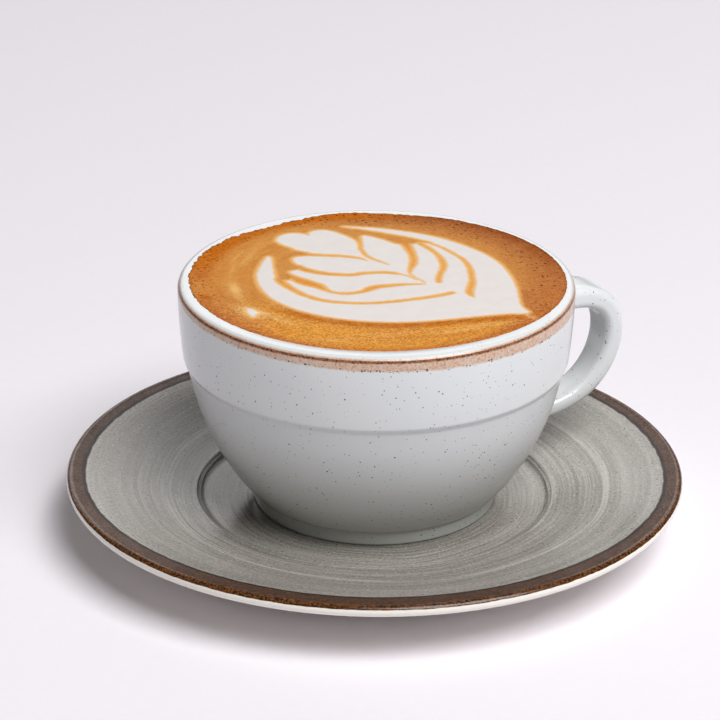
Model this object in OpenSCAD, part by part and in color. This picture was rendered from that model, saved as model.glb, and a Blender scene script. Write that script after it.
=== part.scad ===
// A latte in its glazed stoneware cup, standing on the saucer that comes with it.
// Origin at the bottom centre of the saucer, +Z up, the cup's handle along +X. Millimetres.

/* [Cup] */
// Outside diameter of the rim
rim_d = 100; // [80:1:120]
// Height of the cup from its foot to the top of the rim
cup_h = 59.2; // [50:0.1:75]
// Radius of the lip's outer round
lip_r = 1.7; // [1.2:0.1:2.4]
// How far the lip slopes inwards from its crest
lip_slope = 5.4; // [3:0.1:6]
// How deep the lip's inward slope reaches below its crest
lip_drop = 1.4; // [1:0.1:3]
// How far below the rim the fine ledge around the wall lies
ledge_depth = 20; // [14:1:24]
// How far the wall leans in from the rim to the ledge
wall_lean = 1.3; // [0.5:0.1:3]
// How far the wall steps in below the ledge
ledge_step = 0.8; // [0.3:0.1:1.5]
// Depth below the rim at which the lower bowl would be at its widest
bowl_swell_depth = 8.6; // [0:0.2:12]
// Thickness of the cup's floor
floor_t = 4; // [3:0.5:6]
// Outside diameter of the foot ring
foot_d = 62; // [48:1:68]
// Height of the foot ring
foot_h = 4; // [2:0.5:5]
// Width of the foot ring's flat face
foot_land = 3; // [2:0.5:5]

/* [Handle] */
// How far the handle's outer face stands out from the rim
handle_reach = 19.8; // [16:0.1:26]
// Depth below the rim of the middle of the upper root
handle_top = 12; // [9:0.1:16]
// Depth below the rim of the middle of the lower root
handle_low = 43.3; // [34:0.1:46]
// Width of the strap at its outermost point
handle_w = 10.9; // [8:0.1:15]
// Thickness of the strap at its outermost point
handle_t = 5.2; // [3.6:0.1:6]
// Width of the strap at its upper root
root_top_w = 12.4; // [10:0.1:18]
// Thickness of the strap at its upper root
root_top_t = 6.2; // [4:0.1:8]
// Width of the strap at its lower root
root_low_w = 9.8; // [9:0.1:17]
// Thickness of the strap at its lower root
root_low_t = 4.2; // [4:0.1:7]
// Radius of the strap's rounded edges
handle_edge_r = 2; // [1:0.1:2.2]

/* [Latte] */
// Depth of the latte's edge below the top of the rim
level_depth = 0.2; // [0.1:0.1:0.8]
// How far the foam rises from its edge to its middle
foam_dome = 0.2; // [0:0.1:0.6]

/* [Saucer] */
// Outside diameter of the saucer
saucer_d = 158; // [130:1:190]
// Height of the saucer
saucer_h = 16; // [14:0.5:20]
// Height of the flat well that the cup stands in
well_h = 8.3; // [6:0.1:10]
// Diameter of the shoulder around the well
shoulder_d = 91; // [76:1:110]
// Height of the shoulder above the well
shoulder_rise = 1.6; // [1.4:0.1:3]
// Radius of the rolled edge
edge_r = 1.5; // [1.2:0.1:2]
// Outside diameter of the saucer's foot ring
saucer_foot_d = 90; // [76:1:110]
// Width of the foot ring's flat face
saucer_land = 4; // [2:0.5:8]
// Depth of the recess inside the foot ring
saucer_recess = 2.6; // [1.5:0.1:3]

/* [Hidden] */

rim_r = rim_d / 2;
crest_r = rim_r - lip_r;

// Upper wall: how sharply the lean grows towards the ledge
lean_power = 2.07;
ledge_r = rim_r - wall_lean;
below_ledge_r = ledge_r - ledge_step;
ledge_drop = 0.5;

// Lower bowl: an ellipse through the underside of the ledge and the top of the foot
foot_r = foot_d / 2;
foot_crease = 0.8;
foot_recess = foot_h - 0.8;
foot_top_depth = cup_h - foot_h;
foot_top_r = foot_r + foot_crease;
e1 = ledge_depth + ledge_drop - bowl_swell_depth;
e2 = foot_top_depth - bowl_swell_depth;
ellipse_k = pow(below_ledge_r * e2, 2) - pow(foot_top_r * e1, 2);
inverse_a2 = (e2 * e2 - e1 * e1) / ellipse_k;
inverse_b2 = (pow(below_ledge_r, 2) - pow(foot_top_r, 2)) / ellipse_k;

// Inside of the cup: a superellipse from the lip to the floor
inner_r = crest_r - lip_slope;
inner_power = 2.85;
inner_depth = cup_h - foot_h - floor_t;

// Handle: its centre line stands this far out of the rim, and its roots bite into the wall
crown = handle_reach - handle_t / 2;
drop = handle_low - handle_top;
root_bite = 2.4;
root_flare = 1.2;
flare_share = 0.2;

// Latte: its edge meets the lip's inward slope, a quarter ellipse, at this angle from the crest
level_angle = acos(1 - level_depth / lip_drop);

// Saucer
saucer_r = saucer_d / 2;
edge_c = [saucer_r - edge_r, saucer_h - edge_r];
edge_top_angle = 115;
edge_low_angle = -62;
shoulder_r = shoulder_d / 2;
shoulder_z = well_h + shoulder_rise;
shoulder_round = 1;
shoulder_drop = 0.3;
well_r = shoulder_r - 2.5;
well_round = 1.2;
dish_power = 1.2;
saucer_foot_r = saucer_foot_d / 2;
foot_round = 0.8;

// How finely curves are drawn
revolve_sides = 96;
arc_steps = 8;
wall_steps = 14;
strap_rings = 40;
corner_steps = 5;

// Points along an arc about c, from angle a0 to a1
function arc(c, r, a0, a1, n) = [
    for (i = [0:n]) let (a = a0 + (a1 - a0) * i / n) c + r * [cos(a), sin(a)]
];

// The value a share t of the way from a to b
function mix(a, b, t) = a * (1 - t) + b * t;

// A Bezier curve of any degree, t from 0 to 1
function bezier(p, t) =
    len(p) == 1 ? p[0] : bezier([for (i = [0:len(p) - 2]) mix(p[i], p[i + 1], t)], t);

// A value that runs from a through b halfway to c
function through(a, b, c, t) = a * (1 - t) * (1 - 2 * t) + 4 * b * t * (1 - t) + c * t * (2 * t - 1);

// Outside radius of the cup at a depth below the rim, above and below the ledge
function upper_wall_r(depth) = rim_r - wall_lean * pow(depth / ledge_depth, lean_power);
function bowl_r(depth) = sqrt((1 - pow(depth - bowl_swell_depth, 2) * inverse_b2) / inverse_a2);

// Inside radius of the cup at a depth below the rim
function inside_r(depth) =
    let (share = (depth - lip_drop) / (inner_depth - lip_drop))
    inner_r * pow(max(0, 1 - pow(share, inner_power)), 1 / inner_power);

// Depths down the inside, spaced more closely towards the floor
function inside_depth(i) = lip_drop + (inner_depth - lip_drop) * sin(90 * i / wall_steps);

// Half outline of the cup's outside, from the middle of its underside to the middle of its top
function outside_profile() = concat(
    [[0, foot_recess], [foot_r - foot_land - foot_round, foot_recess], [foot_r - foot_land, 0]],
    arc([foot_r - foot_round, foot_round], foot_round, -90, 0, 3),
    [[foot_r, foot_h - foot_crease]],
    arc([foot_r + foot_crease, foot_h - foot_crease], foot_crease, 180, 90, 4),
    [for (i = [1:wall_steps]) let (d = mix(foot_top_depth, ledge_depth + ledge_drop, i / wall_steps))
        [bowl_r(d), cup_h - d]],
    [for (i = [0:wall_steps - 1]) let (d = mix(ledge_depth, lip_r, i / wall_steps))
        [upper_wall_r(d), cup_h - d]],
    arc([crest_r, cup_h - lip_r], lip_r, 0, 90, arc_steps),
    [[0, cup_h]]
);

// The lip's inward slope between two angles, and the wall below it down to the floor's middle
function lip_inside(a0, a1) = [
    for (i = [0:arc_steps]) let (a = mix(a0, a1, i / arc_steps))
        [crest_r - lip_slope * sin(a), cup_h - lip_drop * (1 - cos(a))]
];
function wall_inside() = [for (i = [1:wall_steps]) let (d = inside_depth(i)) [inside_r(d), cup_h - d]];

// The space inside the cup, open upwards
module cup_cavity() {
    clearance = 1;
    rotate_extrude($fn = revolve_sides)
        polygon(concat(
            [[0, cup_h + clearance], [crest_r, cup_h + clearance]],
            lip_inside(0, level_angle),
            lip_inside(level_angle, 90),
            wall_inside()
        ));
}

// Centre line of the handle, as distance from the axis and height above the cup's foot
function handle_route(t) = bezier([
    [upper_wall_r(handle_top) - root_bite, cup_h - handle_top],
    [rim_r + 0.37 * crown, cup_h - handle_top - 0.10 * drop],
    [rim_r + 1.44 * crown, cup_h - handle_top + 0.20 * drop],
    [rim_r + 1.13 * crown, cup_h - handle_top - 0.60 * drop],
    [rim_r + 1.06 * crown, cup_h - handle_top - 1.09 * drop],
    [bowl_r(handle_low) - root_bite, cup_h - handle_low]
], t);

// Extra size near either root, where the strap spreads into the wall
function flare(t) = root_flare * pow(max(0, 1 - min(t, 1 - t) / flare_share), 3);
function strap_w(t) = through(root_top_w, handle_w, root_low_w, t) + 2 * flare(t);
function strap_t(t) = through(root_top_t, handle_t, root_low_t, t) + flare(t);

// A rounded rectangle, width across and thickness up, counter-clockwise
function strap_section(w, t) = [
    for (quarter = [0:3], i = [0:corner_steps])
        let (
            r = min(handle_edge_r, t / 2 - 0.1),
            a = 90 * (quarter + i / corner_steps),
            side_x = (quarter == 0 || quarter == 3) ? 1 : -1,
            side_y = quarter < 2 ? 1 : -1
        )
        [side_x * (w / 2 - r) + r * cos(a), side_y * (t / 2 - r) + r * sin(a)]
];

// One ring of the strap, square to its centre line
function strap_ring(t) =
    let (
        tiny = 0.001,
        c = handle_route(t),
        ahead = handle_route(min(1, t + tiny)) - handle_route(max(0, t - tiny)),
        along = ahead / norm(ahead),
        out = [-along[1], along[0]]
    )
    [for (p = strap_section(strap_w(t), strap_t(t))) [c[0] + out[0] * p[1], p[0], c[1] + out[1] * p[1]]];

module handle() {
    sides = 4 * (corner_steps + 1);
    last = strap_rings * sides;
    points = [for (i = [0:strap_rings]) each strap_ring(i / strap_rings)];
    near_cap = [[for (j = [0:sides - 1]) j]];
    far_cap = [[for (j = [sides - 1:-1:0]) last + j]];
    skin = [
        for (i = [0:strap_rings - 1], j = [0:sides - 1])
            let (a = i * sides + j, b = i * sides + (j + 1) % sides)
            each [[a, a + sides, b], [b, a + sides, b + sides]]
    ];
    polyhedron(points, concat(near_cap, far_cap, skin));
}

module cup() {
    color([0.88, 0.88, 0.87])
        translate([0, 0, well_h])
            difference() {
                union() {
                    rotate_extrude($fn = revolve_sides) polygon(outside_profile());
                    handle();
                }
                cup_cavity();
            }
}

// The drink fills the cavity up to its level, and its foam is slightly domed
module latte() {
    edge = lip_inside(level_angle, 90)[0];
    color([0.80, 0.56, 0.32])
        translate([0, 0, well_h])
            rotate_extrude($fn = revolve_sides)
                polygon(concat(
                    [for (i = [0:arc_steps - 1]) let (s = i / arc_steps)
                        [edge[0] * s, edge[1] + foam_dome * (1 - s * s)]],
                    lip_inside(level_angle, 90),
                    wall_inside()
                ));
}

// Heights of the saucer's upper face and of its underside, as shares s of the way from the foot to the edge
function dish_line(start, end) = [
    for (i = [0:wall_steps - 1]) let (s = i / wall_steps)
        [mix(start[0], end[0], s), mix(start[1], end[1], pow(s, dish_power))]
];

function reversed(list) = [for (i = [len(list) - 1:-1:0]) list[i]];

module saucer() {
    edge = arc(edge_c, edge_r, edge_low_angle, edge_top_angle, 2 * arc_steps);
    recess_r = saucer_foot_r - saucer_land - foot_round;
    color([0.62, 0.58, 0.53])
        rotate_extrude($fn = revolve_sides)
            polygon(concat(
                [[0, saucer_recess], [recess_r - foot_round, saucer_recess], [recess_r, 0]],
                [[saucer_foot_r - foot_round, 0], [saucer_foot_r, foot_round]],
                dish_line([saucer_foot_r + foot_round, foot_round + saucer_recess], edge[0]),
                edge,
                reversed(dish_line([shoulder_r + shoulder_round, shoulder_z], edge[len(edge) - 1])),
                [[shoulder_r, shoulder_z - shoulder_drop]],
                [[well_r + well_round, well_h + well_round / 2], [well_r, well_h], [0, well_h]]
            ));
}

saucer();
cup();
latte();
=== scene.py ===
"""The looks of a latte: a glazed stoneware cup and saucer, and the foam with its poured leaf.

Outlines and sizes are millimetres, and become metres where a mesh is made. Depths are below the cup's rim.
"""
import math

import bpy
import numpy as np
from mathutils import Matrix, Vector


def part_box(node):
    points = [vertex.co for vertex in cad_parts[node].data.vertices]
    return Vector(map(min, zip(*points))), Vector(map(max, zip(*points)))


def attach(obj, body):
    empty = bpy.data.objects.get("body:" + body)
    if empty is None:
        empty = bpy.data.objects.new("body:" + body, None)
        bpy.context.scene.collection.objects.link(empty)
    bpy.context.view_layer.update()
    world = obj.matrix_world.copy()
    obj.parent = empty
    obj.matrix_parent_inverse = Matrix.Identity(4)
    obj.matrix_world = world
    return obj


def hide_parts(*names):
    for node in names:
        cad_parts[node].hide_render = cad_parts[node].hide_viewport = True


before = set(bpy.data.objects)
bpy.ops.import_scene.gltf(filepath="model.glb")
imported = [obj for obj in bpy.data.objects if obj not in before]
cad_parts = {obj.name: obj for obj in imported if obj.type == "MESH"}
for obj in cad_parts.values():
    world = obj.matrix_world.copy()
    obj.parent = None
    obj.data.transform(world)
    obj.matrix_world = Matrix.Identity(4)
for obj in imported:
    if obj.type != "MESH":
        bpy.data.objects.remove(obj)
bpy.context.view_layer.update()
MM = 0.001

# ---------------------------------------------------------------- sizes taken from the frame
SAUCER_HIGH = np.array(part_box("saucer")[1]) / MM
CUP_LOW, CUP_HIGH = [np.array(corner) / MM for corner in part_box("cup")]
WELL_Z = CUP_LOW[2]
RIM_Z = CUP_HIGH[2]
CUP_H = RIM_Z - WELL_Z
RIM_R = -CUP_LOW[0]
HANDLE_END = CUP_HIGH[0]
SAUCER_R = SAUCER_HIGH[0]
SAUCER_Z = SAUCER_HIGH[2]

# ---------------------------------------------------------------- the cup's own sizes
LIP_R = 1.7
LIP_SLOPE = 5.4
LIP_DROP = 1.4
CREST_R = RIM_R - LIP_R
LEDGE_DEPTH = 20
WALL_LEAN = 1.3
LEAN_POWER = 2.07
LEDGE_STEP = 0.8
LEDGE_DROP = 0.5
LEDGE_SOFT = 0.8
BOWL_SWELL_DEPTH = 8.6
FOOT_R = 31
FOOT_H = 4
FOOT_LAND = 3
FOOT_CREASE = 0.8
FOOT_RECESS = 3.2
FOOT_ROUND = 0.8
FLOOR_T = 4
INNER_R = CREST_R - LIP_SLOPE
INNER_DEPTH = CUP_H - FOOT_H - FLOOR_T
INNER_POWER = 2.85
WASH_LOW = 3.4
WASH_TILT = 0.8
LINE_LOW = 1.35

# ---------------------------------------------------------------- the handle's own sizes
HANDLE_TOP = 12
HANDLE_LOW = 43.3
HANDLE_W = 10.9
HANDLE_T = 5.2
ROOT_TOP = (12.4, 6.2)
ROOT_LOW = (9.8, 4.2)
ROOT_BITE = 2.4
ROOT_FLARE = 1.2
FLARE_SHARE = 0.2
HANDLE_EDGE_R = 2.0
ROOT_FILLET = 2.6

# ---------------------------------------------------------------- the saucer's own sizes
EDGE_R = 1.5
EDGE_TOP_ANGLE = 115
EDGE_LOW_ANGLE = -62
BAND_W = 5.2
BAND_FRONT_EXTRA = 2.2
WHITE_EDGE_RISE = 0.6
SHOULDER_R = 45.5
SHOULDER_Z = WELL_Z + 1.6
WELL_R = 43
SAUCER_FOOT_R = 45
SAUCER_LAND = 4
SAUCER_RECESS = 2.6
DISH_POWER = 1.2
DISH_FLATTENING = 0.12
DISH_FLAT_POWER = 8

# ---------------------------------------------------------------- the foam's own sizes
FOAM_GRID = 260
FOAM_R = 48.9
FOAM_MIDDLE = 0.05
FOAM_EDGE = 0.12
FOAM_EDGE_DROP = 0.35
MILK_RISE = 0.06
DRINK_OVERLAP = 0.4

# ---------------------------------------------------------------- the camera, aimed from the cup's axis
CAMERA_TURN = 26.5
CAMERA_ELEVATION = 26.02
CAMERA_DISTANCE = 900
CAMERA_LENS = 173.77
CAMERA_PAN = 0.26
CAMERA_TILT = 2.54
CAMERA_ROLL = -0.65
AIM_Z = 2.0


def linear(colour):
    """An 8-bit display colour as linear red, green and blue."""
    share = np.asarray(colour, float) / 255
    return np.where(share <= 0.04045, share / 12.92, ((share + 0.055) / 1.055) ** 2.4)


def smooth_step(low, high, value):
    share = np.clip((value - low) / (high - low), 0, 1)
    return share * share * (3 - 2 * share)


# ================================================================ meshes
def new_object(name, points, faces):
    """A smooth-shaded mesh object from millimetre points."""
    mesh = bpy.data.meshes.new(name)
    mesh.from_pydata((np.asarray(points) * MM).tolist(), [], faces)
    mesh.validate()
    mesh.update()
    mesh.polygons.foreach_set("use_smooth", [True] * len(mesh.polygons))
    piece = bpy.data.objects.new(name, mesh)
    bpy.context.scene.collection.objects.link(piece)
    return piece


def arc(centre, radius, start, end, steps):
    angles = np.radians(np.linspace(start, end, steps + 1))
    return [(centre[0] + radius * math.cos(a), centre[1] + radius * math.sin(a)) for a in angles]


def quad_strip(first, second):
    """Quads between two rings of point numbers of the same length."""
    count = len(first)
    return [
        (first[i], first[(i + 1) % count], second[(i + 1) % count], second[i]) for i in range(count)
    ]


def revolve(name, outline, sides):
    """Turns a half outline, from the axis round to the axis again, about Z. Runs bottom to top outside."""
    turns = np.linspace(0, 2 * np.pi, sides, endpoint=False)
    points = [(0, 0, outline[0][1])]
    rings = []
    for radius, height in outline[1:-1]:
        start = len(points)
        points += [(radius * math.cos(a), radius * math.sin(a), height) for a in turns]
        rings.append(list(range(start, start + sides)))
    points.append((0, 0, outline[-1][1]))
    last = len(points) - 1
    faces = [(0, rings[0][(i + 1) % sides], rings[0][i]) for i in range(sides)]
    for lower, upper in zip(rings, rings[1:]):
        faces += quad_strip(lower, upper)
    faces += [(last, rings[-1][i], rings[-1][(i + 1) % sides]) for i in range(sides)]
    return new_object(name, points, faces)


# ================================================================ the cup
def upper_wall_r(depth):
    return RIM_R - WALL_LEAN * (depth / LEDGE_DEPTH) ** LEAN_POWER


def bowl_r(depth):
    """The lower bowl: an ellipse through the underside of the ledge and the top of the foot."""
    top = (RIM_R - WALL_LEAN - LEDGE_STEP, LEDGE_DEPTH + LEDGE_DROP - BOWL_SWELL_DEPTH)
    low = (FOOT_R + FOOT_CREASE, CUP_H - FOOT_H - BOWL_SWELL_DEPTH)
    scale = (top[0] * low[1]) ** 2 - (low[0] * top[1]) ** 2
    inverse_a2 = (low[1] ** 2 - top[1] ** 2) / scale
    inverse_b2 = (top[0] ** 2 - low[0] ** 2) / scale
    return np.sqrt((1 - (depth - BOWL_SWELL_DEPTH) ** 2 * inverse_b2) / inverse_a2)


def outside_r(depth):
    """The wall above the ledge and the bowl below it, with the ledge as a soft step between them."""
    share = smooth_step(LEDGE_DEPTH - LEDGE_SOFT, LEDGE_DEPTH + LEDGE_DROP + LEDGE_SOFT, depth)
    return upper_wall_r(depth) * (1 - share) + bowl_r(depth) * share


def inside_r(depth):
    share = (depth - LIP_DROP) / (INNER_DEPTH - LIP_DROP)
    return INNER_R * max(0, 1 - share**INNER_POWER) ** (1 / INNER_POWER)


def inside_depths(steps):
    """Depths down the inside, closer together towards the floor."""
    turns = np.linspace(0, math.pi / 2, steps + 1)[1:]
    return [LIP_DROP + (INNER_DEPTH - LIP_DROP) * math.sin(turn) for turn in turns]


def cup_outline():
    """Half the cup's section: the foot, the wall, the lip, its slope and the inside."""
    foot = [(0, FOOT_RECESS), (FOOT_R - FOOT_LAND - FOOT_ROUND, FOOT_RECESS)]
    foot += arc((FOOT_R - FOOT_LAND + 0.5, 0.5), 0.5, 180, 270, 4)
    foot += arc((FOOT_R - FOOT_ROUND, FOOT_ROUND), FOOT_ROUND, -90, 0, 6)
    foot += arc((FOOT_R + FOOT_CREASE, FOOT_H - FOOT_CREASE), FOOT_CREASE, 180, 90, 8)
    ledge_low, ledge_high = LEDGE_DEPTH + LEDGE_DROP + 1, LEDGE_DEPTH - 1
    depths = [
        *np.linspace(CUP_H - FOOT_H, ledge_low, 44)[1:],
        *np.linspace(ledge_low, ledge_high, 14)[1:],
        *np.linspace(ledge_high, LIP_R, 24)[1:],
    ]
    wall = [(outside_r(d), CUP_H - d) for d in depths]
    lip = arc((CREST_R, CUP_H - LIP_R), LIP_R, 0, 90, 12)[1:]
    slope = [
        (CREST_R - LIP_SLOPE * math.sin(a), CUP_H - LIP_DROP * (1 - math.cos(a)))
        for a in np.linspace(0, math.pi / 2, 15)[1:]
    ]
    inside = [(inside_r(d), CUP_H - d) for d in inside_depths(24)]
    return [(r, WELL_Z + z) for r, z in foot + wall + lip + slope + inside]


def handle_route(t):
    """The middle of the strap as distance from the axis and depth below the rim: a Bezier curve."""
    crown = HANDLE_END - RIM_R - HANDLE_T / 2
    drop = HANDLE_LOW - HANDLE_TOP
    route = [
        (upper_wall_r(HANDLE_TOP) - ROOT_BITE, HANDLE_TOP),
        (RIM_R + 0.37 * crown, HANDLE_TOP + 0.10 * drop),
        (RIM_R + 1.44 * crown, HANDLE_TOP - 0.20 * drop),
        (RIM_R + 1.13 * crown, HANDLE_TOP + 0.60 * drop),
        (RIM_R + 1.06 * crown, HANDLE_TOP + 1.09 * drop),
        (bowl_r(HANDLE_LOW) - ROOT_BITE, HANDLE_LOW),
    ]
    degree = len(route) - 1
    terms = [math.comb(degree, i) * t**i * (1 - t) ** (degree - i) for i in range(degree + 1)]
    return sum(term * np.array(point, float) for term, point in zip(terms, route))


def strap_size(root_top, middle, root_low, flare, t):
    even = root_top * (1 - t) * (1 - 2 * t) + 4 * middle * t * (1 - t) + root_low * t * (2 * t - 1)
    return even + flare * max(0, 1 - min(t, 1 - t) / FLARE_SHARE) ** 3


def strap_section(width, thickness):
    """A rounded rectangle as points and their outward directions, each across and up."""
    corner_steps, flat_steps = 7, 4
    r = min(HANDLE_EDGE_R, thickness / 2 - 0.1)
    points, normals = [], []
    for quarter in range(4):
        side_x = 1 if quarter in (0, 3) else -1
        side_y = 1 if quarter < 2 else -1
        centre = np.array([side_x * (width / 2 - r), side_y * (thickness / 2 - r)])
        for i in range(corner_steps + 1):
            a = math.pi / 2 * (quarter + i / corner_steps)
            normals.append(np.array([math.cos(a), math.sin(a)]))
            points.append(centre + r * normals[-1])
    spaced, outward = [], []
    for i, point in enumerate(points):
        spaced.append(point)
        outward.append(normals[i])
        if i % (corner_steps + 1) == corner_steps:
            following = points[(i + 1) % len(points)]
            for j in range(1, flat_steps):
                spaced.append(point + (following - point) * j / flat_steps)
                outward.append(normals[i])
    return np.array(spaced), np.array(outward)


def strap_ring(t):
    """Points of one ring of the strap and their outward directions, in the frame."""
    tiny = 0.001
    middle = handle_route(t)
    ahead = handle_route(min(1, t + tiny)) - handle_route(max(0, t - tiny))
    along = np.array([ahead[0], -ahead[1]]) / np.hypot(*ahead)
    up = np.array([-along[1], along[0]])
    width = strap_size(ROOT_TOP[0], HANDLE_W, ROOT_LOW[0], 2 * ROOT_FLARE, t)
    thickness = strap_size(ROOT_TOP[1], HANDLE_T, ROOT_LOW[1], ROOT_FLARE, t)
    section, outward = strap_section(width, thickness)
    points = np.stack(
        [middle[0] + up[0] * section[:, 1], section[:, 0], RIM_Z - middle[1] + up[1] * section[:, 1]], 1
    )
    normals = np.stack([up[0] * outward[:, 1], outward[:, 0], up[1] * outward[:, 1]], 1)
    return points, normals


def wall_normal(points):
    """Outward directions of the cup's outside at the height of each point."""
    depth = RIM_Z - points[:, 2]
    slope = (outside_r(depth + 0.05) - outside_r(depth - 0.05)) / 0.1
    radius = np.hypot(points[:, 0], points[:, 1])
    flat = points[:, :2] / radius[:, None]
    normals = np.concatenate([flat, slope[:, None]], 1)
    return normals / np.linalg.norm(normals, axis=1)[:, None]


def wall_distance(points):
    depth = RIM_Z - points[:, 2]
    level = np.hypot(points[:, 0], points[:, 1]) - outside_r(depth)
    return level * np.hypot(wall_normal(points)[:, 0], wall_normal(points)[:, 1])


def crossing(lines, distances, level):
    """For each line, where its distance from the wall first rises past a level, counted in rings."""
    found = np.argmax(distances > level, axis=0)
    columns = np.arange(distances.shape[1])
    before, after = distances[found - 1, columns], distances[found, columns]
    share = ((level - before) / (after - before))[:, None]
    return found, lines[found - 1, columns] * (1 - share) + lines[found, columns] * share


def root_rings(lines, normals):
    """The rings of a root, from inside the wall through its fillet to where the strap runs free.

    Each line of the strap leaves the wall along the wall's own surface. Returns the rings and, for each
    line, the ring from which it follows the strap.
    """
    fillet_rings = 8
    distances = np.array([wall_distance(ring) for ring in lines])
    found, hit = crossing(lines, distances, 0.0)
    free, start = crossing(lines, distances, ROOT_FILLET)
    outward = normals[found, np.arange(lines.shape[1])]
    foot = hit + ROOT_FILLET * outward
    for _ in range(4):
        foot = foot - wall_normal(foot) * wall_distance(foot)[:, None]
    buried = foot - wall_normal(foot) * 1.0 + outward * 0.3
    rings = [buried]
    for i in range(fillet_rings + 1):
        t = i / fillet_rings
        rings.append(foot * (1 - t) ** 2 + 2 * hit * t * (1 - t) + start * t * t)
    return rings, free


def handle_piece():
    """The strap with a fillet at either root, closed inside the wall."""
    fine = 400
    shown = 70
    swept = [strap_ring(i / fine) for i in range(fine + 1)]
    lines = np.array([ring for ring, _ in swept])
    normals = np.array([normal for _, normal in swept])
    top_rings, top_free = root_rings(lines[: fine // 2], normals[: fine // 2])
    low_rings, low_free = root_rings(lines[::-1][: fine // 2], normals[::-1][: fine // 2])
    first = top_free.astype(float)
    last = fine - low_free.astype(float)
    columns = np.arange(lines.shape[1])
    middle_rings = []
    for i in range(1, shown):
        place = first + (last - first) * i / shown
        below = np.floor(place).astype(int)
        share = (place - below)[:, None]
        middle_rings.append(lines[below, columns] * (1 - share) + lines[below + 1, columns] * share)
    rings = top_rings + middle_rings + low_rings[::-1]
    count = lines.shape[1]
    points = np.concatenate(rings)
    faces = []
    for i in range(len(rings) - 1):
        lower = list(range(i * count, (i + 1) * count))
        upper = list(range((i + 1) * count, (i + 2) * count))
        faces += quad_strip(upper, lower)
    faces.append(tuple(range(count)))
    faces.append(tuple(reversed(range(len(points) - count, len(points)))))
    return new_object("handle_strap", points, faces)


def join_by_union(piece, other):
    """Unites another closed mesh with a piece, and removes the other."""
    union = piece.modifiers.new("union", "BOOLEAN")
    union.operation = "UNION"
    union.solver = "EXACT"
    union.object = other
    evaluated = piece.evaluated_get(bpy.context.evaluated_depsgraph_get())
    united = bpy.data.meshes.new_from_object(evaluated)
    piece.modifiers.clear()
    piece.data = united
    bpy.data.objects.remove(other)
    united.polygons.foreach_set("use_smooth", [True] * len(united.polygons))


def make_cup():
    cup = revolve("cup_body", cup_outline(), 240)
    join_by_union(cup, handle_piece())
    return cup


# ================================================================ the saucer
def dish_line(start, end, steps):
    """A line to the edge of the saucer: steeper outwards, but nearly level at its end."""
    shares = np.arange(steps) / steps
    rises = (1 + DISH_FLATTENING) * shares**DISH_POWER - DISH_FLATTENING * shares**DISH_FLAT_POWER
    return [
        (start[0] + (end[0] - start[0]) * share, start[1] + (end[1] - start[1]) * rise)
        for share, rise in zip(shares, rises)
    ]


def make_saucer():
    edge_centre = (SAUCER_R - EDGE_R, SAUCER_Z - EDGE_R)
    edge = arc(edge_centre, EDGE_R, EDGE_LOW_ANGLE, EDGE_TOP_ANGLE, 20)
    inner_foot = SAUCER_FOOT_R - SAUCER_LAND
    outline = [(0, SAUCER_RECESS), (inner_foot - 2.0, SAUCER_RECESS)]
    outline.append((inner_foot - 1.3, SAUCER_RECESS - 0.3))
    outline += arc((inner_foot + 0.5, 0.5), 0.5, 180, 270, 4)
    outline += arc((SAUCER_FOOT_R - 0.8, 0.8), 0.8, -90, 0, 6)
    outline += arc((SAUCER_FOOT_R + 1.2, SAUCER_RECESS - 0.4), 1.2, 180, 90, 6)
    outline += dish_line((SAUCER_FOOT_R + 1.2, SAUCER_RECESS + 0.8), edge[0], 30)[1:]
    outline += edge
    shoulder_start = (SHOULDER_R + 1.0, SHOULDER_Z)
    outline += dish_line(shoulder_start, edge[-1], 40)[::-1]
    outline += arc((SHOULDER_R + 0.7, SHOULDER_Z - 1.0), 1.0, 95, 150, 6)
    outline += arc((WELL_R - 0.2, WELL_Z + 2.4), 2.4, -35, -90, 8)
    outline.append((0, WELL_Z))
    return revolve("saucer_body", outline, 288)


# ================================================================ the poured leaf
# The leaf is drawn in its own plane: x to the right and y away from the drinker, both from the cup's axis.
LEAF_TURN = math.radians(CAMERA_TURN)

# Outline of all the milk, from the tip of the left horn round the front, the right and the back
LEAF_OUTLINE = [
    (-28, 14.5), (-29.4, 9), (-30.2, 3), (-29.8, -2), (-28.6, -7), (-26.5, -12), (-23.5, -16.3),
    (-19.5, -20), (-14, -23.3), (-8, -25.6), (0, -27), (8, -26.9), (16, -25.4), (24, -23.2),
    (32, -21.3), (36, -21), (37.5, -20.2), (36, -17), (35.3, -12), (35, -6), (34.3, 0), (33, 6),
    (31, 12), (27.5, 18), (23, 23.2), (18, 27.6), (13, 30.8), (7, 33.4), (1, 35.2), (-4, 36),
    (-9, 36.4), (-3, 34.4), (3, 32), (8, 29.8), (11.5, 27.8), (14.5, 25.6), (12.6, 25), (10.8, 25.2),
    (9.6, 24.4), (7, 24), (4.5, 24.6), (2, 26.8), (-0.5, 28.6), (-3.4, 30), (-4.5, 28), (-5.2, 26.5),
    (-7, 28.2), (-8.5, 30), (-10.5, 31.8), (-12.5, 33.2), (-14.5, 33.6), (-16.5, 33), (-17.8, 31.3),
    (-17.6, 29.8), (-19, 30.6), (-21, 31.3), (-23.5, 30.8), (-25.3, 29), (-26, 26), (-24.5, 23.3),
    (-22.5, 21.6), (-20.5, 19.6), (-17.5, 18), (-17, 15.6), (-20, 14.8), (-21.4, 13.2), (-20.4, 10),
    (-18, 7.4), (-17.5, 5.6), (-20, 5.8), (-21.9, 4.4), (-20.6, 1.6), (-21.6, -1.2), (-23.6, -1.6),
    (-25, -1.4), (-25.9, 3), (-26.3, 7), (-26.6, 10.4), (-27, 13.6),
]

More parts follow.
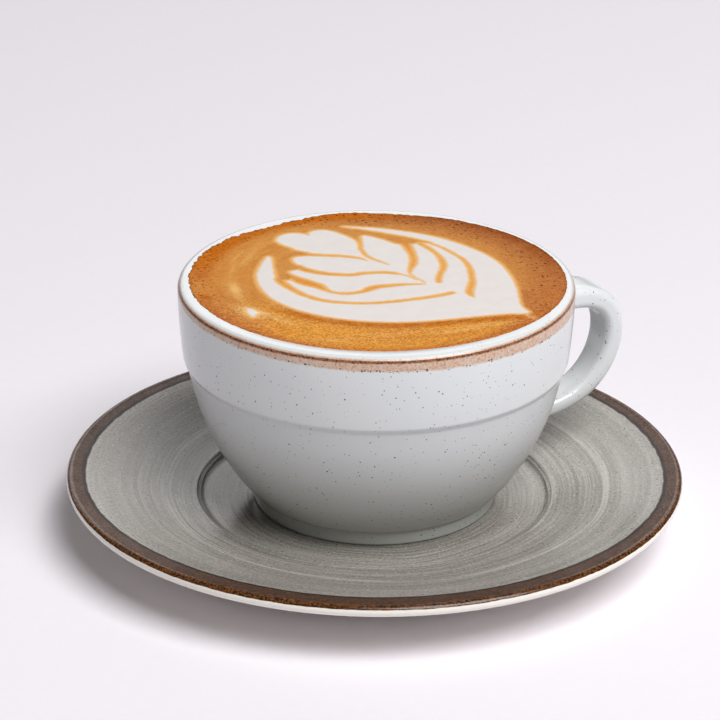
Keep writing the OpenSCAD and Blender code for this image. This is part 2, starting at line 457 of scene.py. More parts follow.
# The brown lines that part the milk: each is a run of (x, y, width)
LEAF_STROKES = {
    "upper left": [
        (-22, 17, 2.2), (-18, 16.5, 1.8), (-14, 16.1, 1.4), (-10, 15.8, 1.3), (-7, 15.2, 1.2),
        (-4.5, 14.3, 0.9), (-3.5, 13.6, 0.5), (-2.5, 12.5, 0.2),
    ],
    "middle left": [
        (-20, 8, 2.2), (-18, 6, 2.2), (-15.5, 4.6, 2), (-12.5, 3.5, 1.8), (-9, 3, 1.6), (-6, 3, 1.5),
        (-4, 3.9, 1.5), (-1, 4.6, 1.4), (2, 4.8, 1.4), (4.5, 4.3, 1.2), (6, 3.7, 0.6), (8, 2.4, 0.35),
        (10, 0.2, 0.3),
    ],
    "lower left": [
        (-21.5, 1.5, 2), (-19.5, -1, 3), (-17, -3, 3.2), (-14.5, -4.8, 2.6), (-13, -6.8, 1.6),
        (-11, -8.6, 1), (-8.5, -9.4, 1.3), (-6, -9.2, 1.3), (-3.5, -8, 1.5), (-1.5, -6, 2.2),
        (0.5, -4.6, 2), (3, -4, 1.6), (5.5, -3.3, 1.4), (8, -2.9, 1), (12, -2.6, 0.4),
    ],
    "front": [
        (-25, 0.4, 1), (-24.5, -1, 2), (-23, -4, 2), (-21, -7, 1.7), (-19, -9.6, 1.6),
        (-17, -11.6, 1.4), (-14.5, -13.4, 1.4), (-11.5, -14.7, 1.3), (-8, -15.3, 1.2), (-4, -15.6, 1.1),
        (0, -15.2, 1.2), (4, -14.3, 1.3), (8, -13, 1.3), (12, -11.6, 1.3), (15.5, -10, 1.4),
        (18.8, -8.2, 1.4),
    ],
    "stem": [
        (-6, 30, 2.5), (-4.9, 27, 1.6), (-4.3, 24, 1), (-4.2, 21, 1), (-3.6, 18.5, 0.9),
        (-2.6, 16, 0.9), (-1, 13.8, 0.8), (1, 12, 0.5), (3, 10, 0.2),
    ],
    "first right": [
        (7, 26, 3), (8, 22, 2.2), (8.8, 18.5, 1.9), (9.3, 14.5, 1.8), (9.2, 11, 1.8), (8.6, 8, 1.2),
        (8.4, 6, 0.8), (8.4, 4, 0.5), (9.5, 2, 0.4), (11, 0, 0.3), (12, -1.5, 0.2),
    ],
    "second right": [
        (11, 25, 1.5), (13.2, 21.8, 1.3), (15, 18.4, 1.2), (16.2, 15, 1.4), (16.9, 11, 1.5),
        (16.8, 8, 1.4), (16.2, 5, 1.3), (15.6, 2, 1.3), (15.6, -1, 1.3),
    ],
    "third right": [
        (13.8, 25.2, 0.9), (16, 23, 0.8), (18, 20.5, 0.9), (20, 17.5, 0.9), (22, 14, 1.1),
        (23.2, 10, 1.2), (23.8, 6, 1.3), (24, 2, 1.3), (24, -1, 1.5), (23.6, -4, 1.6), (23.2, -8, 1.6),
        (24.2, -11, 0.3),
    ],
}

# Half of a line as drawn: a share of its given width, and a spread as crema bleeds into the milk
STROKE_SPREAD = 0.1
STROKE_SHARE = 0.6

# A loose fleck of milk at the front left
FLECK_OUTLINE = [
    (-32.5, -19), (-30.5, -19.5), (-28.5, -21.5), (-26.5, -22.8), (-28.5, -23.2), (-29.5, -25.5),
    (-31, -25), (-32.3, -22),
]


def smooth_run(points, closed, steps=6):
    """More points along a Catmull-Rom curve through the given ones."""
    points = np.array(points, float)
    if closed:
        padded = np.concatenate([points[-1:], points, points[:2]])
    else:
        padded = np.concatenate([points[:1], points, points[-1:]])
    run = []
    for p0, p1, p2, p3 in zip(padded, padded[1:], padded[2:], padded[3:]):
        for i in range(steps):
            t = i / steps
            bend = 2 * p0 - 5 * p1 + 4 * p2 - p3
            twist = 3 * p1 - p0 - 3 * p2 + p3
            run.append(0.5 * (2 * p1 + (p2 - p0) * t + bend * t * t + twist * t**3))
    if not closed:
        run.append(points[-1])
    return np.array(run)


def segment_distance(places, run, closed):
    """Distance of each place from a run of points, less half the run's width where it has one."""
    nearest = np.full(len(places), 1e9)
    following = np.roll(run, -1, axis=0) if closed else run[1:]
    for a, b in zip(run, following):
        along = b[:2] - a[:2]
        share = np.clip((places - a[:2]) @ along / max(along @ along, 1e-9), 0, 1)
        gap = np.hypot(*(places - a[:2] - share[:, None] * along).T)
        if len(a) > 2:
            gap = gap - STROKE_SPREAD - STROKE_SHARE * (a[2] + (b[2] - a[2]) * share)
        nearest = np.minimum(nearest, gap)
    return nearest


def inside_distance(places, outline):
    """Distance of each place from a closed outline, positive inside it."""
    run = smooth_run(outline, True)
    crossings = np.zeros(len(places), int)
    for a, b in zip(run, np.roll(run, -1, axis=0)):
        if a[1] == b[1]:
            continue
        between = (a[1] > places[:, 1]) != (b[1] > places[:, 1])
        at = a[0] + (places[:, 1] - a[1]) * (b[0] - a[0]) / (b[1] - a[1])
        crossings += between & (places[:, 0] < at)
    return segment_distance(places, run, True) * np.where(crossings % 2 == 1, 1, -1)


def froth_share(places):
    """Where dark bubbles crowd the crema: along the right and the back, and at the far left."""
    right = sector(places, 42, 66, 18, 37, 6)
    left = 0.75 * sector(places, 158, 56, 16, 41.5, 3)
    front = 0.35 * sector(places, -90, 70, 20, 42, 2)
    return np.clip(right + left + front, 0, 1)


def leaf_distances(places):
    """How far each place lies inside the milk, and inside the whole leaf."""
    whole = inside_distance(places, LEAF_OUTLINE)
    milk = whole.copy()
    for stroke in LEAF_STROKES.values():
        milk = np.minimum(milk, segment_distance(places, smooth_run(stroke, False), False))
    milk = np.maximum(milk, inside_distance(places, FLECK_OUTLINE) - 0.6)
    return milk, whole


# ---------------------------------------------------------------- the crema's tones round the leaf
CREMA = (212, 148, 82)
AMBER = (226, 155, 78)


def patch(places, centre, reach, turn=0):
    """A soft oval weight about a centre."""
    angle = math.radians(turn)
    offset = places - np.array(centre)
    along = offset[:, 0] * math.cos(angle) + offset[:, 1] * math.sin(angle)
    across = -offset[:, 0] * math.sin(angle) + offset[:, 1] * math.cos(angle)
    return np.exp(-((along / reach[0]) ** 2) - (across / reach[1]) ** 2)


def sector(places, middle, half, soft, inner, inner_soft=3):
    """A soft weight over a range of directions, from a radius outwards."""
    direction = np.degrees(np.arctan2(places[:, 1], places[:, 0]))
    off = np.abs((direction - middle + 180) % 360 - 180)
    radius = np.hypot(places[:, 0], places[:, 1])
    outwards = smooth_step(inner - inner_soft, inner + inner_soft, radius)
    return smooth_step(half + soft, half - soft, off) * outwards


def crema_tones(places, whole):
    """The crema's colour at each place, in linear light. Each layer is painted over those before it."""
    radius = np.hypot(places[:, 0], places[:, 1])
    direction = np.arctan2(places[:, 1], places[:, 0])
    under_leaf = smooth_step(-4.4, -2.8, whole) * smooth_step(-18, -24, places[:, 1])
    edge_line = smooth_step(1.1, 0.2, contact_r(direction) - radius)
    layers = [
        # Golden in front, brown towards the right and the back
        ((230, 160, 70), 0.9 * sector(places, -95, 58, 14, 31)),
        ((184, 114, 66), 0.95 * sector(places, 42, 62, 20, 38, 7)),
        ((162, 96, 54), 0.6 * sector(places, 60, 42, 20, 41, 4)),
        ((146, 72, 20), 0.8 * sector(places, 62, 46, 20, 44.6, 2)),
        ((194, 122, 70), 0.9 * sector(places, -20, 14, 10, 36, 4)),
        # Tan at the left, under a deep orange rim at the back left
        ((208, 136, 80), 0.8 * sector(places, 196, 32, 14, 38, 3)),
        ((210, 142, 72), 0.8 * sector(places, 170, 40, 20, 30, 5)),
        ((198, 108, 8), 0.97 * sector(places, 130, 46, 14, 42.2, 2.4)),
        # Darker along the front rim and under the leaf
        ((196, 118, 62), 0.8 * sector(places, -90, 70, 16, 43.2, 1.5)),
        ((200, 118, 42), 0.95 * under_leaf),
        # Orange spots and pale streaks at the left
        ((192, 104, 34), 0.9 * patch(places, (-42.4, -13), (2.6, 1.2), -55)),
        ((186, 100, 40), 0.7 * patch(places, (-44.2, 2), (1.6, 3), 0)),
        ((240, 196, 130), 0.85 * patch(places, (-35.2, -8), (5, 1.6), 105)),
        ((226, 172, 104), 0.6 * patch(places, (-33, 14), (12, 1.6), 72)),
        ((236, 190, 124), 0.75 * patch(places, (-25, -25.5), (8, 1.3), -34)),
        ((238, 196, 136), 0.9 * patch(places, (-31, -22), (4.4, 2.6), -50)),
        # Streaks in front, and the tail of the leaf's tip
        ((234, 184, 118), 0.7 * patch(places, (24, -30), (9, 1.2), 22)),
        ((228, 170, 100), 0.6 * patch(places, (-4, -38), (16, 1.4), 2)),
        ((232, 178, 112), 0.6 * patch(places, (6, -33.5), (12, 0.8), 10)),
        ((204, 126, 52), 0.6 * patch(places, (10, -36), (12, 1.0), 10)),
        ((238, 186, 140), 0.9 * patch(places, (37.8, -22.6), (2.8, 0.9), -50)),
        # A thin dark line where the foam ends
        ((166, 88, 24), 0.85 * edge_line * bell(direction, 140, 60)),
        ((120, 62, 26), 0.8 * edge_line * bell(direction, 40, 60)),
    ]
    tones = np.tile(linear(CREMA), (len(places), 1))
    for colour, weight in layers:
        tones += (linear(colour) - tones) * np.clip(weight, 0, 1)[:, None]
    inner = smooth_step(-0.6, 0.8, whole)[:, None]
    tones += (linear(AMBER) - tones) * inner
    return tones


# ================================================================ the latte
def disc_grid(count, radius):
    """Places of a square grid pressed into a disc, row by row."""
    side = np.linspace(-1, 1, count)
    u, v = np.meshgrid(side, side)
    u, v = u.ravel(), v.ravel()
    wide = np.abs(u) >= np.abs(v)
    reach = np.where(wide, u, v)
    other = np.where(wide, v, u)
    angle = np.pi / 4 * np.divide(other, reach, out=np.zeros_like(other), where=reach != 0)
    first, second = reach * np.cos(angle), reach * np.sin(angle)
    return radius * np.stack([np.where(wide, first, second), np.where(wide, second, first)], 1)


def ripple(direction, seed, waves):
    """A repeatable uneven wave round the edge, about -1 to 1."""
    random = np.random.default_rng(seed)
    total = np.zeros_like(direction)
    for wave in waves:
        total += np.sin(wave * direction + random.uniform(0, 2 * np.pi))
    return total / math.sqrt(2 * len(waves))


def bell(direction, middle, reach):
    """A bump of 1 over a direction in degrees, fading over the given reach."""
    off = (np.degrees(direction) - middle + 180) % 360 - 180
    return np.exp(-((off / reach) ** 2))


def contact_r(direction):
    """How far out on the lip the foam ends: less in front, and scalloped at the back and left."""
    front = 3.5 * np.clip(-np.sin(direction), 0, 1) ** 1.7
    back = 2.0 * bell(direction, 126, 18) + 1.3 * bell(direction, 84, 14) + 0.7 * bell(direction, 60, 20)
    left = 0.6 * bell(direction, 190, 32)
    scallops = 0.08 + 0.34 * bell(direction, 140, 55)
    waves = (19, 31, 44, 57, 71, 88, 103, 127, 149)
    return 48 - front - back - left + scallops * ripple(direction, 5, waves)


def foam_level(places):
    """Height of the foam, which lies on the lip with a rounded edge."""
    radius = np.hypot(places[:, 0], places[:, 1])
    direction = np.arctan2(places[:, 1], places[:, 0])
    edge_r = contact_r(direction)
    lip_depth = LIP_DROP * (1 - np.sqrt(1 - ((CREST_R - edge_r) / LIP_SLOPE) ** 2))
    level = FOAM_MIDDLE + (FOAM_EDGE - lip_depth - FOAM_MIDDLE) * (radius / edge_r) ** 3
    return RIM_Z + level - FOAM_EDGE_DROP * smooth_step(edge_r - 0.45, edge_r + 0.25, radius)


def grid_faces(count):
    starts = [row * count + column for row in range(count - 1) for column in range(count - 1)]
    return [(a, a + 1, a + count + 1, a + count) for a in starts]


def grid_rim(count):
    """The point numbers round the edge of a square grid."""
    rim = list(range(count))
    rim += [count * row + count - 1 for row in range(1, count)]
    rim += list(range(count * count - 2, count * (count - 1) - 1, -1))
    rim += [count * row for row in range(count - 2, 0, -1)]
    return rim


def drink_sides():
    """Radius and height of the rings below the foam, buried a little in the wall."""
    deeper = inside_depths(12)[1:-1]
    rings = [(inside_r(depth) + DRINK_OVERLAP, RIM_Z - depth - DRINK_OVERLAP) for depth in deeper]
    return [(46.6, RIM_Z - 3.0), *rings]


def store(piece, name, values):
    """Keeps a number or a colour for each point, for the material to read."""
    kind, field = ("FLOAT_COLOR", "color") if values.ndim == 2 else ("FLOAT", "value")
    layer = piece.data.attributes.new(name, kind, "POINT")
    layer.data.foreach_set(field, values.astype(np.float32).ravel())


def make_latte():
    """The drink: its foam on a fine grid, and its sides and underside."""
    places = disc_grid(FOAM_GRID, FOAM_R)
    milk, whole = leaf_distances(places)
    x = places[:, 0] * math.cos(LEAF_TURN) + places[:, 1] * math.sin(LEAF_TURN)
    y = -places[:, 0] * math.sin(LEAF_TURN) + places[:, 1] * math.cos(LEAF_TURN)
    heights = foam_level(places) + MILK_RISE * smooth_step(-0.5, 0.5, milk)
    points = np.stack([x, y, heights], 1)
    faces = grid_faces(FOAM_GRID)
    above = grid_rim(FOAM_GRID)
    directions = np.arctan2(points[above, 1], points[above, 0])
    for r, z in drink_sides():
        ring = np.stack([r * np.cos(directions), r * np.sin(directions), np.full(len(directions), z)], 1)
        current = list(range(len(points), len(points) + len(ring)))
        points = np.concatenate([points, ring])
        faces += quad_strip(current, above)
        above = current
    faces.append(tuple(reversed(above)))
    latte = new_object("latte_surface", points, faces)
    hidden = len(points) - len(places)
    tones = np.concatenate([crema_tones(places, whole), np.tile(linear(CREMA), (hidden, 1))])
    store(latte, "milk", np.concatenate([milk, np.full(hidden, -5.0)]))
    store(latte, "froth", np.concatenate([froth_share(places), np.zeros(hidden)]))
    store(latte, "tone", np.concatenate([tones, np.ones((len(points), 1))], 1))
    return latte


# ================================================================ materials
class Nodes:
    """Builds one material. Values and sockets can be given alike."""

    def __init__(self, name):
        self.material = bpy.data.materials.new(name)
        self.material.use_nodes = True
        self.tree = self.material.node_tree
        self.shader = self.tree.nodes["Principled BSDF"]
        coordinates = self.tree.nodes.new("ShaderNodeTexCoord")
        self.place = coordinates.outputs["Object"]

    def put(self, socket, value):
        if isinstance(value, bpy.types.NodeSocket):
            self.tree.links.new(value, socket)
        elif isinstance(value, (tuple, list, np.ndarray)) and len(socket.default_value) == 4:
            socket.default_value = (*value[:3], 1)
        else:
            socket.default_value = value

    def math(self, operation, a, b=0.0, c=0.0):
        node = self.tree.nodes.new("ShaderNodeMath")
        node.operation = operation
        for socket, value in zip(node.inputs, (a, b, c)):
            self.put(socket, value)
        return node.outputs[0]

    def times(self, a, b):
        return self.math("MULTIPLY", a, b)

    def plus(self, a, b):
        return self.math("ADD", a, b)

    def apart(self, a, b):
        return self.math("ABSOLUTE", self.math("SUBTRACT", a, b))

    def wave(self, noise, width):
        """A noise as a wave about zero, of a width from trough to crest."""
        return self.math("MULTIPLY_ADD", noise, width, -width / 2)

    def parts(self, vector):
        node = self.tree.nodes.new("ShaderNodeSeparateXYZ")
        self.put(node.inputs[0], vector)
        return node.outputs

    def vector(self, x, y, z):
        node = self.tree.nodes.new("ShaderNodeCombineXYZ")
        for socket, value in zip(node.inputs, (x, y, z)):
            self.put(socket, value)
        return node.outputs[0]

    def ramp(self, value, low, high, to_low=0.0, to_high=1.0):
        node = self.tree.nodes.new("ShaderNodeMapRange")
        node.interpolation_type = "SMOOTHSTEP"
        for name, given in zip(
            ("Value", "From Min", "From Max", "To Min", "To Max"), (value, low, high, to_low, to_high)
        ):
            self.put(node.inputs[name], given)
        return node.outputs[0]

    def mix(self, share, a, b, blend="MIX"):
        node = self.tree.nodes.new("ShaderNodeMix")
        node.data_type = "RGBA"
        node.blend_type = blend
        self.put(node.inputs[0], share)
        self.put(node.inputs[6], a)
        self.put(node.inputs[7], b)
        return node.outputs[2]

    def between(self, share, first, second):
        """A colour between two 8-bit ones."""
        return self.mix(share, linear(first), linear(second))

    def over(self, colour, share, paint):
        """A colour with a share of an 8-bit one painted over it."""
        return self.mix(share, colour, linear(paint))

    def noise(self, vector, size, detail=2.0, roughness=0.5):
        """Soft noise from 0 to 1, with features of about the given size in metres."""
        node = self.tree.nodes.new("ShaderNodeTexNoise")
        self.put(node.inputs["Vector"], vector)
        node.inputs["Scale"].default_value = 1 / size
        node.inputs["Detail"].default_value = detail
        node.inputs["Roughness"].default_value = roughness
        return node.outputs["Fac"]

    def cells(self, vector, size, flat=False):
        """Scattered points: the distance to the nearest in cells, and three random numbers for it."""
        node = self.tree.nodes.new("ShaderNodeTexVoronoi")
        self.put(node.inputs["Vector"], vector)
        node.inputs["Scale"].default_value = 1 / size
        node.voronoi_dimensions = "2D" if flat else "3D"
        return node.outputs["Distance"], self.parts(node.outputs["Color"])

    def attribute(self, name):
        node = self.tree.nodes.new("ShaderNodeAttribute")
        node.attribute_name = name
        return node

    def specks(self, size, radius, share, vector=None, soft=0.35, flat=False):
        """A mask of round specks, with radii up to the given one, in a share of the cells."""
        distance, randoms = self.cells(vector or self.place, size, flat)
        chosen = self.math("LESS_THAN", randoms[0], share)
        reach = self.times(self.math("MULTIPLY_ADD", randoms[1], 0.6, 0.4), radius / size)
        return self.times(chosen, self.ramp(distance, reach, self.times(reach, 1 - soft)))

    def bump(self, height, distance, strength=1.0):
        node = self.tree.nodes.new("ShaderNodeBump")
        node.inputs["Strength"].default_value = strength
        node.inputs["Distance"].default_value = distance
        self.put(node.inputs["Height"], height)
        self.put(self.shader.inputs["Normal"], node.outputs[0])

    def surface(self, colour, roughness, specular=0.5):
        self.put(self.shader.inputs["Base Color"], colour)
        self.put(self.shader.inputs["Roughness"], roughness)
        self.shader.inputs["Specular IOR Level"].default_value = specular

    def polar(self):
        """Distance from the axis in millimetres, and the unit directions x and y."""
        x, y, _ = self.parts(self.place)
        radius = self.math("SQRT", self.math("MULTIPLY_ADD", x, x, self.times(y, y)))
        safe = self.math("MAXIMUM", radius, 1e-6)
        return self.math("DIVIDE", radius, MM), self.math("DIVIDE", x, safe), self.math("DIVIDE", y, safe)

    def to_right(self, east, north):
        """How far a unit direction points to the right in the leaf's plane."""
        return self.math("MULTIPLY_ADD", east, math.cos(LEAF_TURN), self.times(north, -math.sin(LEAF_TURN)))

    def to_front(self, east, north):
        """How far a unit direction points to the front in the leaf's plane."""
        along_north = self.times(north, -math.cos(LEAF_TURN))
        return self.math("MULTIPLY_ADD", east, -math.sin(LEAF_TURN), along_north)

    def shifted(self, distance):
        """The place moved by a distance in metres, for an unrelated pattern."""
        node = self.tree.nodes.new("ShaderNodeVectorMath")
        node.operation = "ADD"
        self.put(node.inputs[0], self.place)
        node.inputs[1].default_value = (distance, distance, distance)
        return node.outputs[0]

    def around(self, along, waves):
        """A place for noise that is stretched round the axis: a distance, and slow turns."""
        _, east, north = self.polar()
        return self.vector(along, self.times(east, waves), self.times(north, waves))

    def depth(self):
        """Depth below the cup's rim, in millimetres."""
        return self.math("SUBTRACT", float(RIM_Z), self.math("DIVIDE", self.parts(self.place)[2], MM))


def cup_glaze():
    """Off-white glaze with dark specks, and a tan band under a brown line below the rim."""
    n = Nodes("cup_glaze")
    radius, east, north = n.polar()
    depth = n.depth()
    outside = n.ramp(radius, CREST_R + 0.9, CREST_R + 1.25)
    colour = n.between(n.noise(n.place, 0.02, 3), (219, 223, 225), (228, 230, 231))
    # Painted shade: the glaze greys towards the foot, standing in for the shade and the dark saucer's
    # reflection on the lower bowl
    colour = n.over(colour, n.ramp(depth, 26.0, float(CUP_H), 0.0, 0.75), (176, 179, 172))

    # The band: a translucent wash that is wider towards the right
    waver = n.wave(n.noise(n.place, 0.0022, 3), 0.7)
    lower = n.plus(n.math("MULTIPLY_ADD", n.to_right(east, north), WASH_TILT, WASH_LOW), waver)
    wash = n.times(n.ramp(depth, n.plus(lower, 0.35), n.plus(lower, -0.35)), outside)
    grain = n.noise(n.place, 0.0006, 3, 0.7)
    tan = n.between(n.ramp(grain, 0.4, 0.75), (216, 182, 156), (176, 128, 98))
    cover = n.ramp(n.noise(n.place, 0.004, 2), 0.2, 0.6, 0.72, 0.95)
    colour = n.mix(n.times(wash, cover), colour, tan)

    # The brown line along the top of the band
    line_low = n.plus(n.times(waver, 0.5), LINE_LOW)
    line = n.times(n.ramp(depth, n.plus(line_low, 0.3), n.plus(line_low, -0.2)), outside)
    line = n.times(line, n.ramp(depth, 0.6, 0.85))
    brown = n.between(n.ramp(grain, 0.44, 0.6), (150, 90, 56), (56, 26, 14))
    colour = n.mix(n.times(line, 0.92), colour, brown)

    # Specks: crowded at the band's lower edge, scattered below
    near_edge = n.times(n.ramp(n.apart(depth, n.plus(lower, -0.1)), 0.7, 0.1), outside)
    edge_specks = n.times(n.specks(0.0008, 0.00034, 0.9), near_edge)
    wash_specks = n.times(n.specks(0.0009, 0.0002, 0.5), wash)
    colour = n.over(colour, n.times(edge_specks, 0.9), (60, 36, 24))
    colour = n.over(colour, n.times(wash_specks, 0.85), (84, 48, 30))
    crowd = n.ramp(n.noise(n.place, 0.012, 2), 0.3, 0.7, 0.4, 1.0)
    wide = n.times(n.specks(0.0014, 0.00023, crowd, soft=0.2), n.ramp(depth, 3, 9, 0.4, 1))
    fine = n.times(n.specks(0.0011, 0.00017, 0.5, soft=0.2), n.ramp(depth, 3, 20, 0.4, 1))
    colour = n.over(colour, n.times(wide, 0.96), (26, 21, 18))
    colour = n.over(colour, n.times(fine, 0.8), (60, 50, 44))

    n.surface(colour, n.ramp(n.noise(n.place, 0.006, 3), 0.3, 0.7, 0.14, 0.22))
    n.bump(n.noise(n.place, 0.005, 3), 0.00006)
    return n.material


def brushed_grey(n, radius, east, north):
    """Brush strokes that run round the dish, crowded near the well. Also gives two of their noises."""
    sway = n.math("MULTIPLY_ADD", n.noise(n.vector(east, north, 0.0), 0.9, 1), 5.0, radius)
    broad = n.noise(n.around(n.math("DIVIDE", sway, 4.2), 0.8), 1.0, 3, 0.55)
    thin = n.noise(n.around(n.math("DIVIDE", sway, 0.55), 1.4), 1.0, 2, 0.6)
    strokes = n.math("MULTIPLY_ADD", thin, 0.75, n.times(broad, 0.45))
    plain = n.between(n.ramp(broad, 0.3, 0.7), (142, 137, 130), (160, 155, 148))
    brushed = n.between(n.ramp(strokes, 0.4, 0.85), (130, 125, 118), (174, 169, 162))
    colour = n.mix(n.ramp(radius, 67, 57, 0.35, 1.0), plain, brushed)

    # A pale sweep halfway out, and a painted highlight along the crest of the shoulder
    sweep_r = n.math("MULTIPLY_ADD", n.to_right(east, north), 3.0, 59.5)
    sweep = n.ramp(n.apart(sway, sweep_r), 1.3, 0.2)
    colour = n.over(colour, n.times(sweep, n.ramp(thin, 0.3, 0.6, 0.1, 0.6)), (206, 201, 192))
    # Painted highlight: a pale line on the shoulder's crest, standing in for the glaze's reflection of the
    # light there
    crest = n.ramp(n.apart(radius, SHOULDER_R + 0.3), 0.9, 0.1)
    colour = n.over(colour, n.times(crest, n.ramp(thin, 0.35, 0.6, 0.1, 0.5)), (204, 200, 194))

    # Fine pale and dark mottling, and dark specks
    mottle = n.noise(n.place, 0.0006, 3, 0.7)
    colour = n.over(colour, n.ramp(mottle, 0.52, 0.72, 0, 0.5), (218, 215, 208))
    colour = n.over(colour, n.ramp(mottle, 0.46, 0.26, 0, 0.6), (96, 88, 78))
    colour = n.over(colour, n.times(n.specks(0.0013, 0.00026, 0.7, soft=0.2), 0.85), (44, 38, 34))
    return colour, thin, mottle


def saucer_glaze():
    """Brushed grey glaze with a brown band round the edge, and a white underside."""
    n = Nodes("saucer_glaze")
    radius, east, north = n.polar()
    height = n.math("DIVIDE", n.parts(n.place)[2], MM)
    colour, thin, mottle = brushed_grey(n, radius, east, north)

    # The band, wider in front: orange brown, with a dark inner line and a dark outer line
    border = n.plus(radius, n.wave(n.noise(n.place, 0.004, 3), 0.8))
    extra = n.times(n.ramp(n.to_front(east, north), 0.2, 1.0), BAND_FRONT_EXTRA)
    border_in = n.plus(border, extra)
    band = n.ramp(border_in, SAUCER_R - BAND_W, SAUCER_R - BAND_W + 0.5)
    inner_line = n.times(band, n.ramp(border_in, SAUCER_R - BAND_W + 1.4, SAUCER_R - BAND_W + 0.9))
    outer_line = n.ramp(border, SAUCER_R - 1.9, SAUCER_R - 1.2)
    grain = n.noise(n.place, 0.0006, 3, 0.8)
    brown = n.between(n.ramp(grain, 0.44, 0.62), (34, 13, 4), (106, 62, 25))
    purple = n.between(n.ramp(grain, 0.3, 0.75), (18, 6, 4), (48, 24, 18))
    dark = n.between(n.ramp(grain, 0.42, 0.6), (40, 20, 8), (122, 76, 36))
    colour = n.mix(n.times(band, 0.96), colour, brown)
    colour = n.mix(n.times(inner_line, 0.97), colour, purple)
    colour = n.mix(n.times(outer_line, 0.85), colour, dark)

    # The underside and the lower part of the edge are plain white
    white_z = SAUCER_Z - EDGE_R + WHITE_EDGE_RISE
    lip = n.math("MULTIPLY_ADD", n.noise(n.place, 0.002, 3), 0.3, white_z)
    under_edge = n.ramp(height, lip, n.plus(lip, -0.12))
    under_side = n.times(under_edge, n.ramp(radius, SAUCER_R - 1.6, SAUCER_R - 1.2))
    facing = n.tree.nodes.new("ShaderNodeNewGeometry")
    down = n.ramp(n.parts(facing.outputs["Normal"])[2], 0.0, -0.15)
    colour = n.over(colour, n.math("MAXIMUM", under_side, down), (242, 238, 230))

    gloss = n.ramp(n.noise(n.place, 0.005, 3), 0.3, 0.7, 0.12, 0.2)
    matt = n.times(n.times(band, n.math("SUBTRACT", 1.0, outer_line)), 0.3)
    n.surface(colour, n.plus(gloss, matt), 0.35)
    n.bump(n.math("MULTIPLY_ADD", thin, 0.7, n.times(mottle, 0.3)), 0.0001)
    return n.material


def crema(n, radius, east, north, grain):
    """The crema's colour: its tones with grain, mottling, and streaks that flow round the cup."""
    tone = n.attribute("tone").outputs["Color"]
    coarse = n.ramp(n.times(n.to_front(east, north), radius), 4.0, 26.0, 0.25, 1.0)
    grains = n.between(n.ramp(grain, 0.36, 0.64), (200, 186, 166), (255, 255, 255))
    grains = n.mix(coarse, linear((240, 237, 232)), grains)
    colour = n.mix(1.0, tone, grains, "MULTIPLY")
    colour = n.mix(1.0, colour, (1.13, 1.11, 1.0), "MULTIPLY")
    mottle = n.noise(n.place, 0.0022, 3, 0.65)
    colour = n.over(colour, n.ramp(mottle, 0.5, 0.8, 0.0, 0.25), (236, 178, 100))
    colour = n.over(colour, n.ramp(mottle, 0.46, 0.2, 0.0, 0.4), (166, 90, 30))
    drift = n.math("MULTIPLY_ADD", mottle, 2.0, radius)
    flow = n.noise(n.around(n.math("DIVIDE", drift, 1.6), 2.4), 1.0, 3, 0.6)
    froth = n.attribute("froth").outputs["Fac"]
    calm = n.math("SUBTRACT", 1.0, froth)
    colour = n.over(colour, n.times(calm, n.ramp(flow, 0.52, 0.75, 0.0, 0.35)), (240, 186, 110))
    colour = n.over(colour, n.times(calm, n.ramp(flow, 0.46, 0.25, 0.0, 0.3)), (172, 96, 40))

    # Bubbles, in patches where the froth is coarse
    froth = n.times(froth, n.ramp(n.noise(n.place, 0.005, 2), 0.34, 0.54, 0.3, 1.0))
    large = n.times(n.specks(0.0016, 0.00056, 0.5, soft=0.5, flat=True), froth)
    small = n.times(n.specks(0.0009, 0.00036, 0.5, soft=0.5, flat=True), froth)
    sparse = n.specks(0.0032, 0.0003, 0.3, soft=0.4)
    pale = n.times(n.specks(0.0011, 0.0003, 0.3, n.shifted(0.013), 0.6, flat=True), froth)
    colour = n.over(colour, n.times(large, 0.9), (92, 38, 16))
    colour = n.over(colour, n.times(small, 0.75), (108, 48, 20))
    colour = n.over(colour, n.times(sparse, 0.5), (120, 62, 30))
    return n.over(colour, n.times(pale, 0.35), (222, 160, 108))


def latte_foam():
    """Crema, and the milk foam of the leaf with a soft cream border."""
    n = Nodes("latte_foam")
    radius, east, north = n.polar()
    grain = n.noise(n.place, 0.0006, 3, 0.75)
    colour = crema(n, radius, east, north, grain)
    milk = n.attribute("milk").outputs["Fac"]
    edge = n.plus(milk, n.wave(n.noise(n.place, 0.0014, 3), 0.6))
    colour = n.over(colour, n.ramp(edge, -1.5, -0.1, 0.0, 0.8), (240, 190, 118))
    foam = n.between(n.ramp(n.noise(n.place, 0.004, 3), 0.3, 0.7), (228, 221, 218), (231, 225, 222))
    colour = n.mix(n.ramp(edge, -0.4, 0.6), colour, foam)

    n.surface(colour, 0.6, 0.01)
    n.bump(grain, 0.0001, 0.6)
    return n.material


def floor_paper():
    """Plain pale paper with a faint fibre."""
    n = Nodes("floor_paper")
    colour = n.between(n.noise(n.place, 0.003, 3), (244, 240, 246), (247, 243, 248))
    n.surface(colour, 0.9, 0.1)
    return n.material


def give(piece, material):
    piece.data.materials.clear()
    piece.data.materials.append(material)


# ================================================================ floor, light and camera
FLOOR_HALF = 4000

# Light from all round, as a share of a white sky, and the pale backdrop that only the camera sees
ROOM_LIGHT = 0.09
ROOM_COLOUR = (1.0, 0.97, 0.93, 1)
BACKDROP_COLOUR = (0.86, 0.85, 0.87, 1)
LIGHT_AIM = (0, 0, 0.04)


def make_floor():
    corners = np.array([(-1, -1, 0), (1, -1, 0), (1, 1, 0), (-1, 1, 0)])
    floor = new_object("floor", corners * FLOOR_HALF, [(0, 1, 2, 3)])
    give(floor, floor_paper())


def turned(x, y):
    """A direction given to the right and away from the camera, in the frame."""
    angle = math.radians(CAMERA_TURN)
    return (x * math.cos(angle) + y * math.sin(angle), -x * math.sin(angle) + y * math.cos(angle))


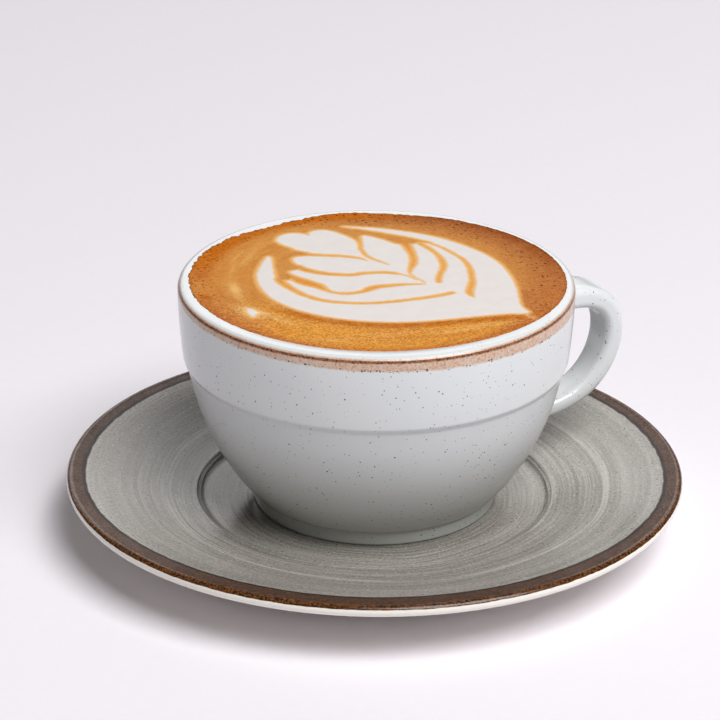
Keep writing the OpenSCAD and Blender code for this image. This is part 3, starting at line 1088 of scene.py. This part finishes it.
def soft_light(name, place, size, power, shines=True):
    """A light aimed at the cup from the right of, behind and above it, in metres and watts.

    A light that doesn't shine is only seen in the glaze.
    """
    light = bpy.data.lights.new(name, "AREA")
    light.shape = "RECTANGLE"
    light.size, light.size_y = size
    light.energy = power
    lamp = bpy.data.objects.new(name, light)
    x, y = turned(place[0], place[1])
    lamp.location = (x, y, place[2])
    lamp.visible_camera = False
    lamp.visible_diffuse = shines
    aim = Vector(LIGHT_AIM) - lamp.location
    lamp.rotation_euler = aim.to_track_quat("-Z", "Y").to_euler()
    bpy.context.scene.collection.objects.link(lamp)


def make_lights():
    world = bpy.data.worlds.new("studio")
    world.use_nodes = True
    tree = world.node_tree
    room = tree.nodes["Background"]
    room.inputs["Color"].default_value = ROOM_COLOUR
    room.inputs["Strength"].default_value = ROOM_LIGHT
    backdrop = tree.nodes.new("ShaderNodeBackground")
    backdrop.inputs["Color"].default_value = BACKDROP_COLOUR
    rays = tree.nodes.new("ShaderNodeLightPath")
    chosen = tree.nodes.new("ShaderNodeMixShader")
    tree.links.new(rays.outputs["Is Camera Ray"], chosen.inputs[0])
    tree.links.new(room.outputs[0], chosen.inputs[1])
    tree.links.new(backdrop.outputs[0], chosen.inputs[2])
    tree.links.new(chosen.outputs[0], tree.nodes["World Output"].inputs["Surface"])
    bpy.context.scene.world = world
    soft_light("key", (0.85, -0.9, 2.0), (1.7, 1.4), 62)
    soft_light("back_panel", (0.1, 1.5, 0.9), (2.0, 0.8), 4)
    soft_light("glaze_panel", (-0.35, 1.45, 0.75), (2.0, 0.8), 4.4, shines=False)


def make_camera():
    """A long lens at the photo's angle. Pan, tilt and roll place the cup in the picture."""
    data = bpy.data.cameras.new("camera")
    data.sensor_width = 36
    data.lens = CAMERA_LENS
    data.clip_start, data.clip_end = 0.05, 20
    camera = bpy.data.objects.new("camera", data)
    elevation = math.radians(CAMERA_ELEVATION)
    x, y = turned(0, -CAMERA_DISTANCE * math.cos(elevation))
    place = Vector((x, y, CAMERA_DISTANCE * math.sin(elevation)))
    forward = -place.normalized()
    right = Vector((*turned(1, 0), 0))
    up = right.cross(forward)
    pan = Matrix.Rotation(math.radians(CAMERA_PAN), 3, up)
    forward, right = pan @ forward, pan @ right
    tilt = Matrix.Rotation(math.radians(CAMERA_TILT), 3, right)
    forward, up = tilt @ forward, tilt @ up
    roll = Matrix.Rotation(math.radians(CAMERA_ROLL), 3, forward)
    right, up = roll @ right, roll @ up
    axes = Matrix((right, up, -forward)).transposed().to_4x4()
    camera.matrix_world = Matrix.Translation((place + Vector((0, 0, AIM_Z))) * MM) @ axes
    bpy.context.scene.collection.objects.link(camera)
    bpy.context.scene.camera = camera


def add_piece(piece, node, material):
    give(piece, material)
    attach(piece, "root")
    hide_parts(node)


bpy.context.scene.view_settings.view_transform = "Standard"
make_camera()
make_lights()
make_floor()
add_piece(make_saucer(), "saucer", saucer_glaze())
add_piece(make_cup(), "cup", cup_glaze())
add_piece(make_latte(), "latte", latte_foam())
